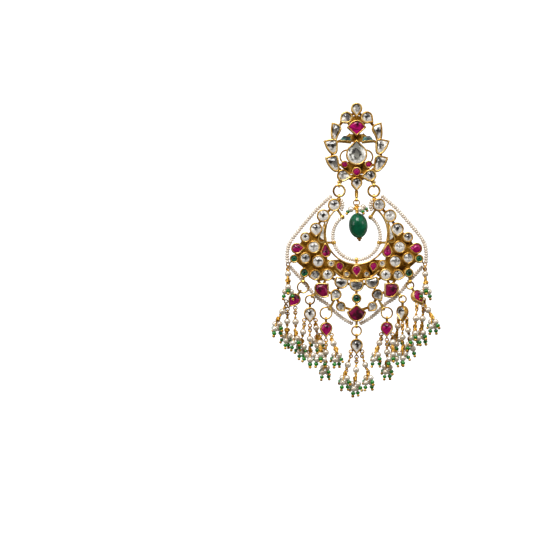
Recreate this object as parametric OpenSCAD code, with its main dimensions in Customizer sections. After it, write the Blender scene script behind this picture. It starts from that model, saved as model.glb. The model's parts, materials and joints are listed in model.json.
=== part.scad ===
// Long chandbali earring: a flower stud, a crescent on two jump rings, an emerald drop in
// the crescent's opening, strings of seed pearls, and seven small pendants with tassels.
// The front faces -Y and +Z is up. The origin is where the ear post meets the stud's back.

/* [Stud] */
// Height of the flower, from its top petal to the tip of its lowest one
stud_h = 33; // [31:0.5:36]
// Depth of the stud's stone settings
stud_t = 2.2; // [2:0.1:2.8]
// Diameter of the ear post
post_d = 0.9; // [0.8:0.05:1.1]
// Length of the ear post behind the stud
post_l = 10; // [8:0.5:12]

/* [Crescent] */
// Width of the crescent across its two outer rubies
crescent_w = 49.4; // [46:0.2:54]
// Depth of the crescent's stone settings
crescent_t = 2.2; // [2:0.1:2.8]
// Distance from the hinge line down to the centre of the crescent's opening
opening_drop = 18.2; // [17.8:0.1:19.5]
// Diameter of a seed pearl, and so of each string of them
seed_d = 1.15; // [0.9:0.05:1.25]

/* [Gold work] */
// Wall of gold round each stone
bezel_wall = 0.5; // [0.4:0.05:0.6]
// Thickness of the recessed plate behind the stones
plate_t = 0.8; // [0.6:0.05:1]
// Width of the thin edge wires
rim_w = 0.55; // [0.45:0.05:0.7]
// Clearance between a stone and its setting
stone_gap = 0.06; // [0.04:0.01:0.1]
// Height that a stone stands above its setting
stone_rise = 0.7; // [0.4:0.05:1]

/* [Links] */
// Half the distance between the two jump rings
hang_x = 6.6; // [6.2:0.1:7]
// Outer diameter of a jump ring
ring_d = 5.1; // [4.8:0.1:5.6]
// Diameter of a jump ring's wire
ring_wire = 0.8; // [0.6:0.05:0.9]
// Diameter of the wire of a pendant's ring
small_wire = 0.6; // [0.5:0.05:0.7]
// Clearance round a wire in its eye
link_gap = 0.18; // [0.14:0.01:0.24]
// Wall of gold round the hole of an eye
eye_wall = 0.32; // [0.25:0.01:0.4]
// Width of an eye along its hole
eye_w = 0.9; // [0.7:0.05:1.1]

/* [Drop] */
// Diameter of the emerald bead
bead_d = 7; // [6:0.1:7.4]
// Length of the emerald bead
bead_l = 9.3; // [8:0.1:10.5]
// Outer diameter of the drop's ring
drop_ring_d = 2.7; // [2.5:0.1:3]
// Length of the bail between the stud and the drop's ring
bail_l = 3.2; // [2.8:0.1:4]
// Distance from the drop's ring down to the bead
drop_neck = 2.9; // [2.8:0.1:3.6]
// Diameter of the drop's pin
drop_pin_d = 0.6; // [0.5:0.05:0.8]

/* [Pendants and tassels] */
// Width of a pendant's setting
pendant_w = 4.7; // [4.4:0.1:5.2]
// Length of a pendant's setting
pendant_l = 6; // [5.6:0.1:6.6]
// Depth of a pendant's setting
pendant_t = 1.8; // [1.6:0.1:2.2]
// Diameter of the single pearl on a tassel string
pearl_d = 2.5; // [2:0.1:2.7]
// Diameter of a pearl in a tassel's bunch
bunch_pearl_d = 2.2; // [1.8:0.1:2.3]
// Diameter of the wire that a tassel hangs on
pin_d = 0.26; // [0.2:0.02:0.34]
// Clearance of a pearl's hole round its wire
pearl_gap = 0.1; // [0.08:0.01:0.15]

/* [Hidden] */

gold = "#c8963c";
crystal = "#dfe3e6";
ruby = "#a3005c";
emerald = "#0a6b3c";
pearl = "#efe3d4";

// The stud's stones stand on a plan of 87 steps to its height, measured from the post, and
// the crescent's on one of 130 steps to its width, from the centre of its opening.
stud_steps = 87;
crescent_steps = 130;
s = stud_h / stud_steps;
c = crescent_w / crescent_steps;

// Both halves hang in one plane, which runs through the middle of the stud's depth.
mid_h = stud_t / 2;
crescent_back = mid_h - crescent_t / 2;

// Outlines that are neither round, pear nor half-moon. Columns: across, up, 1 for a sharp corner
fan_cut = [[0, -8.3, 1], [9.8, 0.8, 1], [5.2, 6.6, 0], [0, 8.6, 0], [-5.2, 6.6, 0], [-9.8, 0.8, 1]];
comma_cut = [[4, 8.6, 1], [-3.6, 6.6, 0], [-5.6, 2, 0], [-1.8, -4, 0], [-0.6, -8.8, 0], [4.2, -8, 0],
  [5.2, 0, 0]];
horn_cut = [[7.2, 5.2, 1], [-1, 7, 0], [-5.8, 6.4, 0], [-6.2, 0, 0], [-5.6, -7, 0], [-0.4, -7.8, 0],
  [4.6, -2.4, 0]];
foot_cut = [[7.2, 5.2, 1], [-0.6, 7.4, 0], [-5, 7, 0], [-6, 0, 0], [-6.6, -7.6, 0], [-1.4, -8.6, 0],
  [5, -1.4, 0]];
wing_cut = [[-7, 4.8, 1], [-5.8, -4.4, 1], [6.8, -3.2, 1], [2, 1.6, 0]];
square_cut = [[7.6, 6.6, 0], [-6.4, 5.6, 1], [-6.6, -7.6, 1], [0.4, -9.6, 0], [8.4, -3.6, 0]];
kite_cut = [[0, 8.6, 1], [-5.6, 3.2, 0], [-9.9, 0.6, 1], [-6.6, -7, 0], [0, -9.8, 0], [6.6, -7, 0],
  [9.9, 0.6, 1], [5.6, 3.2, 0]];

// Stones of the stud, one half and the middle. Columns: cut, across, up, width, length, and the
// way the tip points in degrees; a cut given as an outline is widened and lengthened instead
stud_side_crystals = [
  ["pear", 11.2, 31.6, 12, 14.4, -38],
  [comma_cut, 20.6, 18.2, 1.08, 1.07, 90],
  [horn_cut, 25.4, 3.4, 1.08, 1.08, 90],
  [foot_cut, 24, -13.4, 1.08, 1.08, 90],
  ["pear", 12, -26, 12.2, 15.6, 188]
];
stud_mid_crystals = [
  ["pear", 0, 39.4, 11.4, 15.2, 270],
  ["pear", 0, -34.4, 11.4, 14.2, 270]
];
stud_centre = ["pear", 0, -2.6, 21.4, 25.6, 90];
stud_fan = [fan_cut, 0, 21.6, 1, 1, 90];
stud_wing = [wing_cut, 11.4, 10.8, 1, 1, 90];
stud_side_ruby = ["round", 11.9, -14.8, 7.8, 7.8, 90];
stud_mid_ruby = ["round", 0, -22, 9.4, 9.4, 90];

// Stones of the crescent, in the same columns
crescent_side_crystals = [
  ["round", 22.3, 28.1, 12.8, 12.8, 90],
  ["round", 33.3, 17.2, 13, 13, 90],
  ["pear", 40.6, 3.2, 12.8, 14.6, 270],
  ["round", 51.2, -4.2, 10.4, 10.4, 90],
  ["round", 42.9, -14, 12.8, 12.8, 90],
  ["round", 51.4, -25.1, 11.4, 11.4, 90],
  ["round", 38.4, -28.4, 12.8, 12.8, 90],
  ["round", 25.5, -30.6, 7.6, 7.6, 90],
  ["round", 9.9, -41, 7, 7, 90],
  ["pear", 42, -42, 10.8, 12.6, -15],
  ["round", 29, -41.6, 12, 12, 90],
  ["moon", 15.6, -50, 14, 11, 102],
  ["pear", 21.4, -62.4, 11, 13.8, -54],
  ["pear", 15.4, -73.8, 9.8, 11.4, 232]
];
crescent_mid_crystals = [["moon", 0, -53, 14.4, 10.8, 90]];
crescent_leaf = ["pear", 33.4, 1.8, 7.8, 24, 101];
crescent_side_rubies = [
  ["pear", 58.4, -15.2, 11.3, 14.2, 176],
  ["pear", 31, -16.4, 10, 16, 84],
  ["pear", 16.7, -34.2, 8.6, 11.2, 262]
];
crescent_mid_rubies = [["pear", 0, -38.2, 9.8, 12.8, 270]];
crescent_square = [square_cut, 34.2, -55.8, 1, 1, 90];
crescent_kite = [kite_cut, 0, -79.4, 1, 1, 90];
crescent_side_emeralds = [
  ["round", 62.4, -25.6, 8.6, 8.6, 90],
  ["pear", 52.2, -39.2, 9.2, 10.4, 90]
];
crescent_mid_emeralds = [["round", 0, -65.2, 9.6, 9.6, 90]];

// Struts of the plate that joins one setting to the next. Columns: from across, up, to across, up
stud_struts = [
  [0, 38, 11.2, 31.6], [0, 38, 0, 24], [11.2, 31.6, 20.6, 20], [11.2, 31.6, 6, 24],
  [20.6, 20, 25, 4], [25, 4, 24, -12], [24, -12, 12, -24], [6, 16, 12, 11],
  [12, 11, 22, 7], [0, 14, 0, 0], [0, -14, 0, -34], [12, -26, 0, -28],
  [0, -26, 12, -26], [19, -15, 9, -15], [4, -30, 12, -26]
];
crescent_struts = [
  [22, 28, 33, 17], [33, 17, 41, 4], [41, 4, 51, -4], [51, -4, 43, -14], [51, -4, 58, -15],
  [58, -15, 62, -26], [62, -26, 51, -25], [51, -25, 52, -40], [52, -40, 42, -42],
  [42, -42, 29, -42], [42, -42, 34, -54], [29, -42, 16, -50], [16, -50, -2, -52],
  [29, -42, 34, -54], [34, -56, 22, -62], [22, -62, 16, -72], [16, -50, 21, -62],
  [16, -73, -2, -79], [33, 2, 42, 2], [33, -6, 31, -20]
];
crescent_mid_struts = [[0, -40, 0, -80]];
strut_w = 2.6;
// Depth of a bar that joins an eye to its settings, as a share of the settings' depth
bar_share = 0.6;

// Recessed plates between the settings
stud_plates = [
  [[-15, -12], [15, -12], [12, -24], [-12, -24]],
  [[-7, 34], [7, 34], [6, 26], [-6, 26]],
  [[-6, 16], [6, 16], [5, 8], [-5, 8]]
];
crescent_plate = [
  [31, 2], [46, 0], [52, -8], [61, -14], [62, -27], [54, -34], [50, -42], [36, -48],
  [27, -46], [20, -42], [29, -26]
];
// The band below the opening ends at a lower arc, which is centred under the opening
opening_r = 30.5 * c;
band_r = 31.4 * c;
band_z = -16.8 * c;
// The rim of the opening ends at this height on the plan
rim_from = 22;
// The band's edge wire, which ends where the outermost stones of the band stand
band_edge_x = 21.4;
band_edge_w = 1.4 * rim_w;
band_edge_t = 0.8 * crescent_t;
// The band keeps below this height, as a share of the opening's radius
band_top = -0.87;
// Thin wire that bows from the centre stone out to the small ruby: its centre and radius
bow_at = [9.4, -7] * s;
bow_r = 7.6 * s;

// Where pieces hang from the crescent. Columns: across, up
end_lug = [68.5, -31.5];
outer_nub = [24.7, 34.8];

// Sizes of eyes and rings
ring_r = (ring_d - ring_wire) / 2;
drop_ring_wire = ring_wire * 0.56;
drop_ring_r = (drop_ring_d - drop_ring_wire) / 2;
function bore_r(wire) = wire / 2 + link_gap;
function eye_r(wire) = bore_r(wire) + eye_wall;

// Heights of the hinge lines, the rings and the crescent's centre
stud_foot = (stud_mid_crystals[1][2] - stud_mid_crystals[1][4] / 2) * s;
hinge_z = -35.4 * s;
ring_z = hinge_z - ring_r;
crescent_eye_z = hinge_z - 2 * ring_r;
centre_z = hinge_z - opening_drop;
drop_hinge_z = stud_foot - bail_l;

// Lugs that the pendants hang on, one half and the middle. Columns: across, up, lean of the
// ring, and the place across and up that the lug is soldered to
lugs = [[53.5, -48.5, 0, 52.2, -41], [44, -63, 35, 37, -58], [26.8, -75.6, 40, 22, -66],
  [0, -93, 0, 0, -84]];
// The seven pendants, left to right. Columns: side, lug, ring diameter, how far the pendant
// leans across from the ring, turn about its own length, 1 for a ruby
pendants = [
  [-1, 0, 4.8, -35, 0, 1],
  [-1, 1, 4, 0, 0, 0],
  [-1, 2, 5, 0, 8, 1],
  [1, 3, 4.2, 0, 0, 0],
  [1, 2, 4.8, 0, -10, 1],
  [1, 1, 3.3, 0, -48, 0],
  [1, 0, 3.4, 32, 34, 1]
];
// Where strings are tied to a pendant, as shares of its width and length from its centre
pendant_loops = [[-0.46, -0.32], [0, -0.66], [0.46, -0.32]];
loop_r = 0.62;
loop_wire = 0.32;
loop_bar = 0.56;
// The small ring that links a string to its loop, and how far below the loop's centre it hangs
link_r = 0.62;
link_wire = 0.29;
link_drop = 0.82;
// Coil of wire at the foot of a string, and the knot that its pins spring from
coil_l = 1.2;
coil_d = 0.64;
knot_d = 1.4 * coil_d;
// Distance from a pendant's eye to its setting
pendant_neck = 1.15;

// Tassel strings. Columns: pendant, its loop, lean across, lean forward, length to the pearl,
// length to the bunch, turn of the bunch; lengths are shares of the pendant's length
strings = [
  [0, 0, -30, 10, 0.7, 1.36, 45], [0, 1, -2, -13, 0.78, 1.52, 20], [0, 2, 1, 10, 0.88, 1.7, 60],
  [1, 0, -8, -18, 0.76, 1.56, 30], [1, 1, 0, 4, 0.84, 1.64, 0], [1, 2, 8, -26, 0.5, 1.24, 0],
  [2, 0, 0, 20, 0.5, 1.06, 90], [2, 1, -2, -12, 0.78, 1.56, 50], [2, 2, 22, 8, 0.56, 1.12, 35],
  [3, 0, -18, 4, 0.86, 1.5, 45], [3, 1, -3, -5, 0.82, 1.5, 35], [3, 2, 18, 5, 0.86, 1.5, 50],
  [4, 0, -22, 8, 0.56, 1.12, 55], [4, 1, 2, -12, 0.78, 1.56, 40], [4, 2, 0, 20, 0.5, 1.06, 90],
  [5, 0, -6, -26, 0.5, 1.24, 0], [5, 1, 0, 2, 0.84, 1.64, 0], [5, 2, 12, -20, 0.76, 1.5, 120],
  [6, 0, -6, 10, 0.88, 1.6, 90], [6, 1, -4, -12, 0.78, 1.48, 60], [6, 2, 30, 14, 0.74, 1.36, 45]
];
end_string = [0, 18, 0.6, 1.24, 90];
// A bunch holds four pins. Columns: turn, lean, length to its pearl; the length is a share of
// the pearl's own diameter. Each pin runs on past its pearl's centre, for a bead and its ball
bunch = [[0, 44, 0.82], [180, 44, 0.82], [90, 22, 1.52], [270, 22, 1.52]];
pin_tail = 3;
bunch_pin_d = 0.85 * pin_d;

// Routes of the strings of pearls, chosen by hand on the crescent's plan. Columns: across, up
outer_route_left = [[-25.9, 36.9], [-40, 23.5], [-52, 9.6], [-61.5, -2], [-66.6, -9.6], [-69.2, -18],
  [-69.2, -28.4]];
outer_route_right = [[25.9, 36.9], [40, 24.5], [52, 11], [62.5, -1.6], [67.6, -9.6], [69.6, -18],
  [69.6, -28.4]];
lower_route = [[66, -34], [60, -40.6], [53.6, -47.4], [46, -57], [38.4, -65], [29.6, -70.6],
  [22, -78.2], [14, -85], [4.6, -90.4]];

// The inner string of seed pearls runs round this circle on the plan, from one upper clip to
// the other, and a short string wraps the inner side of each top stone
strand_at = -3;
strand_r = 23.7;
strand_end = 50;
// Clips that hold the inner string: angle round its circle, and the place that each is soldered to
strand_clips = [[53.4, 20, 25], [-16, 31, -9.4], [270, 0, -31]];
wrap_r = 8.6;
wrap_from = 148;
wrap_to = 212;
clip_d = seed_d * 1.6;
clip_gap = 0.1;
clip_bar = seed_d * 0.9;
nub_w = seed_d * 0.35;
// The lower strings lie behind the settings by this clearance
lower_gap = 0.15;

// Emerald drop: lean to the right, and its three small pearls. Columns: across, forward, down,
// as shares of the bead's diameter
drop_lean = 5;
drop_pearls_at = [[-0.33, 0.05, -0.17], [0.2, 0.27, -0.22], [0.36, -0.12, -0.11]];
drop_coil_d = 1.1;
// The pins of the small pearls leave the coil this far below its top
drop_pins_from = 0.3;
drop_pearl_d = 0.9 * bunch_pearl_d;
drop_pin_tail = 0.45;
// Clearance between the bead and the gold above and below it, and the washer and ball below
bead_gap = 0.2;
washer_d = 3 * drop_pin_d;
washer_l = drop_pin_d / 2;
ball_d = 1.7 * drop_pin_d;

// Shapes on the plan

// Cuts each corner that isn't marked sharp
function soften(p) = let (n = len(p)) [
  for (i = [0 : n - 1])
    let (a = p[(i + n - 1) % n], b = p[i], d = p[(i + 1) % n])
      each (b[2] == 1 ? [b] : [[for (k = [0 : 1]) 0.75 * b[k] + 0.25 * a[k], 0],
        [for (k = [0 : 1]) 0.75 * b[k] + 0.25 * d[k], 0]])
];
function unit(v) = v / norm(v);
function inward(a, b) = let (e = unit([b[0] - a[0], b[1] - a[1]])) [-e[1], e[0]];
// Moves every side of an outline inwards by one distance
function inset(p, d) = let (n = len(p)) [
  for (i = [0 : n - 1])
    let (u = inward(p[(i + n - 1) % n], p[i]), v = inward(p[i], p[(i + 1) % n]))
      [p[i][0], p[i][1]] + d * (u + v) / (1 + u * v)
];
// A pear is a circle with a tip; a moon is a circle with its top cut off
function pear_points(w, l, d, n) = let (r = w / 2, a = acos(r / (l - r)), q = r - d, y = r - l / 2)
  concat([[0, y + q * (l - r) / r]], [
    for (i = [0 : n - 2]) let (t = 90 + a + (360 - 2 * a) * i / (n - 2)) [q * cos(t), y + q * sin(t)]
  ]);
function moon_points(w, l, d, n) = let (r = w / 2, y = r - l / 2, q = r - d, b = asin((l / 2 - d - y) / q)) [
  for (i = [0 : n - 1]) let (t = 180 - b + (180 + 2 * b) * i / (n - 1)) [q * cos(t), y + q * sin(t)]
];
function round_points(w, d, n) = [for (i = [0 : n - 1]) (w / 2 - d) * [cos(360 * i / n), sin(360 * i / n)]];
// Outline of a stone in millimetres, upright round its own centre, inset by d
function cut_points(stone, step, d, n) =
  stone[0] == "round" ? round_points(stone[3] * step, d, n)
  : stone[0] == "pear" ? pear_points(stone[3] * step, stone[4] * step, d, n)
  : stone[0] == "moon" ? moon_points(stone[3] * step, stone[4] * step, d, n)
  : inset([for (p = soften(soften(stone[0]))) [p[0] * stone[3] * step, p[1] * stone[4] * step]], d);

// Turns the drawing plane to the front: across stays, up becomes +Z, height faces -Y
module face() {
  rotate([90, 0, 0]) children();
}
module at_stone(stone, step) {
  translate([stone[1] * step, stone[2] * step, 0]) rotate([0, 0, stone[5] - 90]) children();
}
module outline(stone, step, d) {
  at_stone(stone, step)
    if (stone[0] == "round") circle(r = stone[3] * step / 2 - d, $fn = 48);
    else polygon(cut_points(stone, step, d, 14));
}
module both_sides() {
  for (side = [0, 1]) mirror([side, 0, 0]) children();
}
// A cup of gold for each stone, and the pocket that the stone sits in
module cups(stones, step, depth) {
  linear_extrude(depth) for (stone = stones) outline(stone, step, 0);
}
module pockets(stones, step, depth) {
  translate([0, 0, plate_t])
    linear_extrude(depth) for (stone = stones) outline(stone, step, bezel_wall);
}
module struts(rows, step) {
  for (row = rows) {
    from = [row[0], row[1]] * step;
    way = [row[2], row[3]] * step - from;
    translate(from) rotate(atan2(way[1], way[0])) translate([0, -strut_w * step / 2])
      square([norm(way), strut_w * step]);
  }
}

// Stones

// A closed skin over rings of equal count, which turn the same way round
module skin(rings) {
  n = len(rings[0]);
  m = len(rings);
  polyhedron(
    points = [for (ring = rings) each ring],
    faces = concat(
      [[for (i = [0 : n - 1]) i]],
      [for (k = [0 : m - 2]) for (i = [0 : n - 1]) let (j = (i + 1) % n)
        each [[k * n + i, (k + 1) * n + i, (k + 1) * n + j], [k * n + i, (k + 1) * n + j, k * n + j]]],
      [[for (i = [n - 1 : -1 : 0]) (m - 1) * n + i]]
    )
  );
}
// A cut stone: straight sides in the setting, two rows of facets above it, and a table
module stone(row, step, depth, n) {
  girdle = cut_points(row, step, bezel_wall + stone_gap, n);
  at_stone(row, step)
    skin([
      for (row = [[1, plate_t + stone_gap], [1, depth], [0.8, depth + stone_rise * 0.7],
          [0.5, depth + stone_rise]])
        [for (p = girdle) [p[0] * row[0], p[1] * row[0], row[1]]]
    ]);
}
module stones(rows, step, depth, n) {
  for (row = rows) stone(row, step, depth, n);
}

// Links

// A ring of round wire, flat in the drawing plane
module wire_ring(r, wire) {
  rotate_extrude($fn = 48) translate([r, 0]) circle(d = wire, $fn = 24);
}
// An eye on the drawing plane, whose hole runs across and leans with the ring in it
module eye(at, lean, r, w) {
  translate([at[0], at[1], 0]) rotate([0, 0, lean]) rotate([0, 90, 0])
    cylinder(r = r, h = w, center = true, $fn = 40);
}
module eye_body(at, wire, lean = 0) {
  eye(at, lean, eye_r(wire), eye_w);
}
module eye_bore(at, wire, lean = 0) {
  eye(at, lean, bore_r(wire), 2 * eye_w);
}
// A flat bar between two points, which starts outside the hole of an eye
module neck(from, to, skip, w, depth) {
  way = norm(to - from) - skip;
  translate([from[0], from[1], 0]) rotate([0, 0, atan2(to[1] - from[1], to[0] - from[0])])
    translate([skip + way / 2, 0, 0]) cube([way, w, depth], center = true);
}

// Stud

module stud_frame() {
  lug = [hang_x, hinge_z];
  bail = [0, drop_hinge_z];
  petal_foot = [stud_side_crystals[4][1], stud_side_crystals[4][2]] * s;
  color(gold) face() difference() {
    union() {
      both_sides() {
        cups(stud_side_crystals, s, stud_t);
        cups([stud_wing, stud_side_ruby], s, stud_t);
        linear_extrude(plate_t) struts(stud_struts, s);
        linear_extrude(stud_t / 2) stud_bow();
        translate([0, 0, mid_h]) {
          eye_body(lug, ring_wire);
          neck(lug, petal_foot, bore_r(ring_wire) + eye_wall / 2, eye_w, stud_t * bar_share);
        }
      }
      cups(stud_mid_crystals, s, stud_t);
      cups([stud_centre, stud_fan, stud_mid_ruby], s, stud_t);
      linear_extrude(plate_t) for (plate = stud_plates) polygon(plate * s);
      translate([0, 0, mid_h]) {
        eye_body(bail, drop_ring_wire);
        neck(bail, [0, stud_foot + bezel_wall], bore_r(drop_ring_wire) + eye_wall / 2, eye_w,
          stud_t * bar_share);
      }
    }
    both_sides() {
      pockets(stud_side_crystals, s, stud_t);
      pockets([stud_wing, stud_side_ruby], s, stud_t);
      translate([0, 0, mid_h]) eye_bore(lug, ring_wire);
    }
    pockets(stud_mid_crystals, s, stud_t);
    pockets([stud_centre, stud_fan, stud_mid_ruby], s, stud_t);
    translate([0, 0, mid_h]) eye_bore(bail, drop_ring_wire);
  }
}
// The part of the bowed wire's circle that stands clear of the stones
module stud_bow() {
  translate(bow_at) difference() {
    circle(r = bow_r, $fn = 48);
    circle(r = bow_r - rim_w, $fn = 48);
    translate([-2, -1.2] * bow_r) square([2, 2.4] * bow_r);
    translate([-1, -2.6] * bow_r) square([3, 2] * bow_r);
  }
}
module ear_post() {
  color(gold) rotate([-90, 0, 0]) cylinder(d = post_d, h = post_l, $fn = 32);
}
module stud_crystals() {
  color(crystal) face() {
    both_sides() stones(stud_side_crystals, s, stud_t, 12);
    stones(stud_mid_crystals, s, stud_t, 12);
  }
}
module stud_centre_crystal() {
  color(crystal) face() stone(stud_centre, s, stud_t, 16);
}
module stud_ruby_fan() {
  color(ruby) face() stone(stud_fan, s, stud_t, 12);
}
module stud_rubies() {
  color(ruby) face() {
    both_sides() stone(stud_side_ruby, s, stud_t, 10);
    stone(stud_mid_ruby, s, stud_t, 10);
  }
}
module wing(side) {
  color(emerald) face() mirror([side, 0, 0]) stone(stud_wing, s, stud_t, 12);
}

// Crescent

module jump_ring(side) {
  color(gold) face() translate([side * hang_x, ring_z, mid_h]) wire_ring(ring_r, ring_wire);
}
// Draws in the crescent's own plane, with the opening's centre as its origin
module on_crescent() {
  face() translate([0, centre_z, crescent_back]) children();
}
module opening_rim() {
  difference() {
    circle(r = opening_r + rim_w, $fn = 96);
    circle(r = opening_r, $fn = 96);
    translate([-opening_r, rim_from * c]) square([2, 2] * opening_r);
  }
}
module band(edge) {
  difference() {
    translate([0, band_z]) circle(r = band_r, $fn = 96);
    circle(r = opening_r + rim_w / 2, $fn = 96);
    if (edge) translate([0, band_z]) circle(r = band_r - band_edge_w, $fn = 96);
    if (edge) both_sides() translate([band_edge_x * c, -2 * opening_r]) square([1, 2] * opening_r);
    translate([-2, band_top] * opening_r) square([4, 3] * opening_r);
  }
}
function on_plan(at) = [at[0] * c, centre_z + at[1] * c];
// What hangs a pendant: its eye, and the bar that solders it to the settings
module lug(row) {
  at = [row[0], row[1]] * c;
  eye_body(at, small_wire, row[2]);
  neck(at, [row[3], row[4]] * c, bore_r(small_wire) + eye_wall / 2, eye_w, crescent_t * bar_share);
}
module crescent_half() {
  cut_all = concat(crescent_side_crystals, crescent_side_rubies, crescent_side_emeralds,
    [crescent_leaf, crescent_square]);
  eye_at = [hang_x, crescent_eye_z - centre_z];
  first = [crescent_side_crystals[0][1], crescent_side_crystals[0][2]] * c;
  difference() {
    union() {
      cups(cut_all, c, crescent_t);
      linear_extrude(plate_t) struts(crescent_struts, c);
      linear_extrude(plate_t) polygon(crescent_plate * c);
      translate([0, 0, crescent_t / 2]) {
        eye_body(eye_at, ring_wire);
        neck(eye_at, first, bore_r(ring_wire) + eye_wall / 2, eye_w, crescent_t * bar_share);
        neck(outer_nub * c, first, 0, nub_w, clip_bar);
        for (k = [0 : 2]) lug(lugs[k]);
        for (k = [0 : 1]) clip(strand_clips[k]);
        end_ring();
      }
    }
    pockets(cut_all, c, crescent_t);
    translate([0, 0, crescent_t / 2]) {
      for (k = [0 : 1]) clip_bore(strand_clips[k]);
      eye_bore(eye_at, ring_wire);
      for (k = [0 : 2]) eye_bore([lugs[k][0], lugs[k][1]] * c, small_wire, lugs[k][2]);
    }
  }
}
module crescent_middle() {
  cut_all = concat(crescent_mid_crystals, crescent_mid_rubies, crescent_mid_emeralds, [crescent_kite]);
  difference() {
    union() {
      cups(cut_all, c, crescent_t);
      linear_extrude(plate_t) struts(crescent_mid_struts, c);
      translate([0, 0, crescent_t / 2]) {
        lug(lugs[3]);
        clip(strand_clips[2]);
      }
    }
    pockets(cut_all, c, crescent_t);
    translate([0, 0, crescent_t / 2]) {
      clip_bore(strand_clips[2]);
      eye_bore([lugs[3][0], lugs[3][1]] * c, small_wire);
    }
  }
}
module crescent_frame() {
  color(gold) on_crescent() {
    both_sides() crescent_half();
    crescent_middle();
    linear_extrude(crescent_t) opening_rim();
    linear_extrude(band_edge_t) band(true);
    linear_extrude(plate_t) band(false);
  }
}
// A clip of the inner string: a sleeve of gold round the string, and the bar that carries it
function clip_place(row) = [strand_r * cos(row[0]), strand_at + strand_r * sin(row[0])] * c;
module sleeve(row, d, w) {
  at = clip_place(row);
  translate([at[0], at[1], 0]) rotate([0, 0, row[0]]) rotate([90, 0, 0])
    cylinder(d = d, h = w, center = true, $fn = 40);
}
module clip(row) {
  sleeve(row, clip_d, eye_w);
  neck(clip_place(row), [row[1], row[2]] * c, clip_d * 0.45, eye_w, clip_bar);
}
module clip_bore(row) {
  sleeve(row, seed_d + 2 * clip_gap, 2 * eye_w);
}
// The ring at each end of the crescent, where the strands end and a string hangs
module end_ring() {
  at = end_lug * c;
  from = [crescent_side_emeralds[0][1], crescent_side_emeralds[0][2]] * c;
  translate([at[0], at[1], 0]) wire_ring(loop_r, loop_wire);
  neck(at, from, loop_r, loop_bar, loop_bar);
}
module crescent_crystals() {
  color(crystal) on_crescent() {
    both_sides() stones(crescent_side_crystals, c, crescent_t, 12);
    stones(crescent_mid_crystals, c, crescent_t, 12);
  }
}
module leaf_crystal(side) {
  color(crystal) on_crescent() mirror([side, 0, 0]) stone(crescent_leaf, c, crescent_t, 12);
}
module crescent_rubies() {
  color(ruby) on_crescent() {
    both_sides() stones(crescent_side_rubies, c, crescent_t, 12);
    stones(crescent_mid_rubies, c, crescent_t, 12);
  }
}
module crescent_emeralds() {
  color(emerald) on_crescent() {
    both_sides() stones(crescent_side_emeralds, c, crescent_t, 10);
    stones(crescent_mid_emeralds, c, crescent_t, 10);
  }
}
module ruby_square(side) {
  color(ruby) on_crescent() mirror([side, 0, 0]) stone(crescent_square, c, crescent_t, 12);
}
module ruby_kite() {
  color(ruby) on_crescent() stone(crescent_kite, c, crescent_t, 12);
}

// Strings of seed pearls, each as the round cord that its pearls fill

function catmull(a, b, d, e, u) =
  0.5 * (2 * b + (d - a) * u + (2 * a - 5 * b + 4 * d - e) * u * u + (3 * b - a - 3 * d + e) * u * u * u);
// A smooth line through a route's points, with m steps from each to the next
function smooth(route, m) = let (n = len(route)) concat([
  for (i = [0 : n - 2]) for (k = [0 : m - 1])
    catmull(route[max(i - 1, 0)], route[i], route[i + 1], route[min(i + 2, n - 1)], k / m)
], [route[n - 1]]);
// A tube along a line on the plan, centred at one height
module tube(line, h, r, sides) {
  n = len(line);
  skin([
    for (i = [0 : n - 1])
      let (way = unit(line[min(i + 1, n - 1)] - line[max(i - 1, 0)]), out = [way[1], -way[0]])
        [for (k = [0 : sides - 1]) let (t = 360 * k / sides)
          [line[i][0] + r * cos(t) * out[0], line[i][1] + r * cos(t) * out[1], h + r * sin(t)]]
  ]);
}
module arc_of_pearls(x, z, r, from, sweep) {
  translate([x, z] * c) rotate([0, 0, from]) rotate_extrude(angle = sweep, $fn = 96)
    translate([r * c, 0]) circle(d = seed_d, $fn = 24);
}
module inner_strand() {
  top = crescent_side_crystals[0];
  color(pearl) on_crescent() translate([0, 0, crescent_t / 2]) {
    arc_of_pearls(0, strand_at, strand_r, 180 - strand_end, 180 + 2 * strand_end);
    both_sides() arc_of_pearls(top[1], top[2], wrap_r, wrap_from, wrap_to - wrap_from);
  }
}
module outer_strand(route) {
  color(pearl) on_crescent()
    tube([for (p = smooth(route, 3)) p * c], crescent_t / 2, seed_d / 2, 8);
}
module lower_strand(side) {
  color(pearl) on_crescent()
    tube([for (p = smooth(lower_route, 3)) [side * p[0], p[1]] * c], -seed_d / 2 - lower_gap, seed_d / 2, 8);
}

// Pendants

function lug_place(row) = on_plan([row[0] * lugs[row[1]][0], lugs[row[1]][1]]);
function pendant_ring_r(row) = (row[2] - small_wire) / 2;
function ring_place(row) = let (lean = lugs[row[1]][2])
  lug_place(row) + pendant_ring_r(row) * [row[0] * sin(lean), -cos(lean)];
function eye_place(row) = ring_place(row) + pendant_ring_r(row) * [sin(row[3]), -cos(row[3])];
pendant_cup = ["pear", 0, -pendant_neck - pendant_l / 2, pendant_w, pendant_l, 270];
function loop_on_cup(k) = [pendant_loops[k][0] * pendant_w, pendant_cup[2] + pendant_loops[k][1] * pendant_l];
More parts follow.
